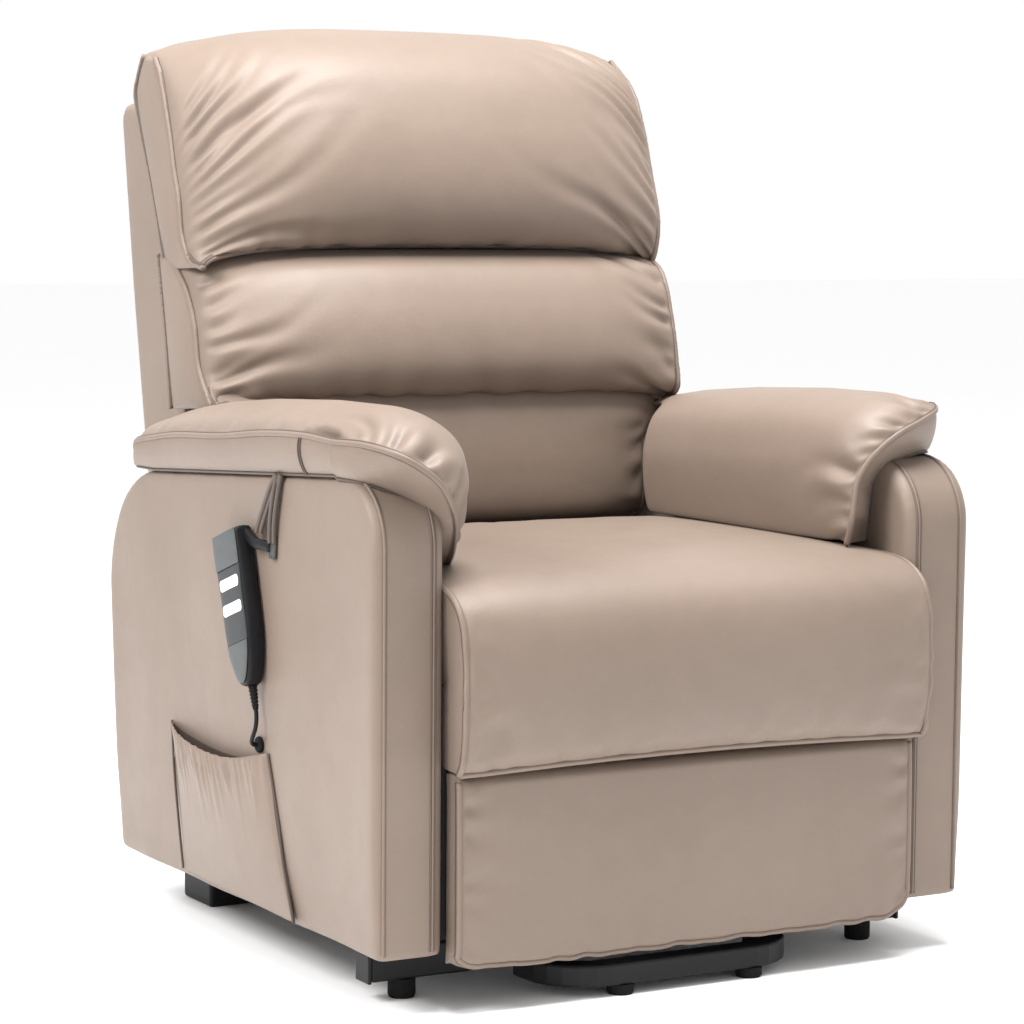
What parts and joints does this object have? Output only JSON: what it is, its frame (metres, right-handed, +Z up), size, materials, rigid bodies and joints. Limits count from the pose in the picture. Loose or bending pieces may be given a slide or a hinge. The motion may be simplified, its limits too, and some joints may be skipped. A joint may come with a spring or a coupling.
{
  "type": "lift recliner chair",
  "caption": "Leather lift recliner chair: steel base that lifts and tilts the seat, reclining back with soft pillows, folding footrest, padded arms, side pocket, wired handset.",
  "frame": {"origin": "middle of the chair's outline, on the floor", "axes": "+Z up, -Y towards the front of the chair, +X towards the sitter's left"},
  "size_m": [0.8097, 0.96, 1.088],
  "materials": {
    "leather": "soft taupe leather, fine grain, satin",
    "black_steel": "black satin powder coat",
    "zinc_steel": "zinc plated, satin",
    "black_rubber": "matt",
    "black_plastic": "fine texture",
    "grey_plastic": "fine texture",
    "white_plastic": "smooth",
    "deck_fabric": "woven black webbing",
    "cord_sheath": "satin"
  },
  "bodies": {
    "base": {"base_front_tube": "black_steel", "base_cap_left": "black_plastic", "base_cap_right": "black_plastic", "base_rear_tube": "black_steel", "base_rail_left": "black_steel", "base_rail_right": "black_steel", "base_mid_tube": "black_steel", "base_bracket_left": "black_steel", "base_bracket_right": "black_steel", "base_bow_tube": "black_steel", "foot_outer_left": "black_rubber", "foot_outer_right": "black_rubber", "foot_inner_left": "black_rubber", "foot_inner_right": "black_rubber", "rear_foot_left": "black_plastic", "rear_foot_right": "black_plastic"},
    "lift_arm": {"lift_arm_left": "black_steel", "lift_arm_right": "black_steel", "lift_cross_tube": "black_steel"},
    "upper_link": {"upper_link_left": "black_steel", "upper_link_right": "black_steel"},
    "lift_motor": {"lift_motor": "black_plastic"},
    "lift_rod": {"lift_rod": "zinc_steel"},
    "chassis": {"seat_side_left": "black_steel", "seat_side_right": "black_steel", "seat_front_tube": "black_steel", "seat_mid_tube": "black_steel", "seat_rear_tube": "black_steel", "seat_deck": "deck_fabric", "control_box": "black_plastic", "rear_panel": "leather", "arm_left": "leather", "arm_right": "leather", "arm_pad_left": "leather", "arm_pad_right": "leather", "seat_cushion": "leather", "side_pocket": "leather", "handset_strap": "leather", "cord_grommet": "black_rubber", "handset_cord": "cord_sheath"},
    "backrest": {"back_shell": "leather", "back_tube": "black_steel", "back_bracket_left": "black_steel", "back_bracket_right": "black_steel", "head_pillow": "leather", "middle_pillow": "leather", "lower_cushion": "leather"},
    "footrest_link_1": {"footrest_link_1_left": "zinc_steel", "footrest_link_1_right": "zinc_steel"},
    "footrest_link_2": {"footrest_link_2_left": "zinc_steel", "footrest_link_2_right": "zinc_steel"},
    "footrest_link_3": {"footrest_link_3_left": "zinc_steel", "footrest_link_3_right": "zinc_steel"},
    "footrest": {"footrest_board": "deck_fabric", "footrest_pad": "leather"},
    "handset": {"handset_body": "grey_plastic", "strain_relief": "black_rubber"},
    "button_up": {"button_up": "white_plastic"},
    "button_down": {"button_down": "white_plastic"}
  },
  "joints": [
    {"name": "lift", "type": "hinge", "parent": "base", "child": "lift_arm", "pos_m": [0, 0.201, 0.1], "axis": [1, 0, 0], "range_deg": [-38, 0]},
    {"name": "chassis_tilt", "type": "hinge", "parent": "lift_arm", "child": "chassis", "pos_m": [0, -0.199, 0.13], "axis": [1, 0, 0], "range_deg": [-0.5, 63.5]},
    {"name": "upper_link_swing", "type": "hinge", "parent": "base", "child": "upper_link", "pos_m": [0, 0.031, 0.133], "axis": [1, 0, 0], "range_deg": [-46, 0.5]},
    {"name": "motor_swing", "type": "hinge", "parent": "base", "child": "lift_motor", "pos_m": [-0.05, -0.269, 0.085], "axis": [1, 0, 0], "range_deg": [-0.5, 2.5]},
    {"name": "push_rod_slide", "type": "slide", "parent": "lift_motor", "child": "lift_rod", "axis": [0, 0.9706, 0.2408], "range_m": [-0.001, 0.073]},
    {"name": "recline", "type": "hinge", "parent": "chassis", "child": "backrest", "pos_m": [0, 0.131, 0.4], "axis": [1, 0, 0], "range_deg": [-42, 0]},
    {"name": "footrest_drive", "type": "hinge", "parent": "chassis", "child": "footrest_link_1", "pos_m": [0, -0.309, 0.224], "axis": [1, 0, 0], "range_deg": [-153, 0]},
    {"name": "footrest_elbow", "type": "hinge", "parent": "footrest_link_1", "child": "footrest_link_2", "pos_m": [0, -0.193, 0.1723], "axis": [1, 0, 0], "range_deg": [0, 238.5]},
    {"name": "footrest_wrist", "type": "hinge", "parent": "footrest_link_2", "child": "footrest_link_3", "pos_m": [0, -0.1503, 0.3036], "axis": [1, 0, 0], "range_deg": [-122.5, 0]},
    {"name": "footrest_tilt", "type": "hinge", "parent": "footrest_link_3", "child": "footrest", "pos_m": [0, -0.394, 0.215], "axis": [1, 0, 0], "range_deg": [-47.5, 0]},
    {"name": "handset_swing", "type": "hinge", "parent": "chassis", "child": "handset", "pos_m": [-0.3905, -0.169, 0.488], "axis": [1, 0, 0], "range_deg": [-12, 12], "deforming": ["handset_cord"]},
    {"name": "button_up_press", "type": "slide", "parent": "handset", "child": "button_up", "axis": [1, 0, 0], "range_m": [0, 0.001], "stiffness_N_per_m": 600, "springref_m": -0.0005},
    {"name": "button_down_press", "type": "slide", "parent": "handset", "child": "button_down", "axis": [1, 0, 0], "range_m": [0, 0.001], "stiffness_N_per_m": 600, "springref_m": -0.0005}
  ],
  "couplings": [
    {"joint": "chassis_tilt", "follows": "lift", "ratio": -1.6579},
    {"joint": "upper_link_swing", "follows": "lift", "ratio": 1.1836},
    {"joint": "motor_swing", "follows": "lift", "ratio": -0.0415},
    {"joint": "push_rod_slide", "follows": "lift", "m_per_rad": -0.10728},
    {"joint": "footrest_elbow", "follows": "footrest_drive", "ratio": -1.5556},
    {"joint": "footrest_wrist", "follows": "footrest_drive", "ratio": 0.79726},
    {"joint": "footrest_tilt", "follows": "footrest_drive", "ratio": 0.30732}
  ]
}
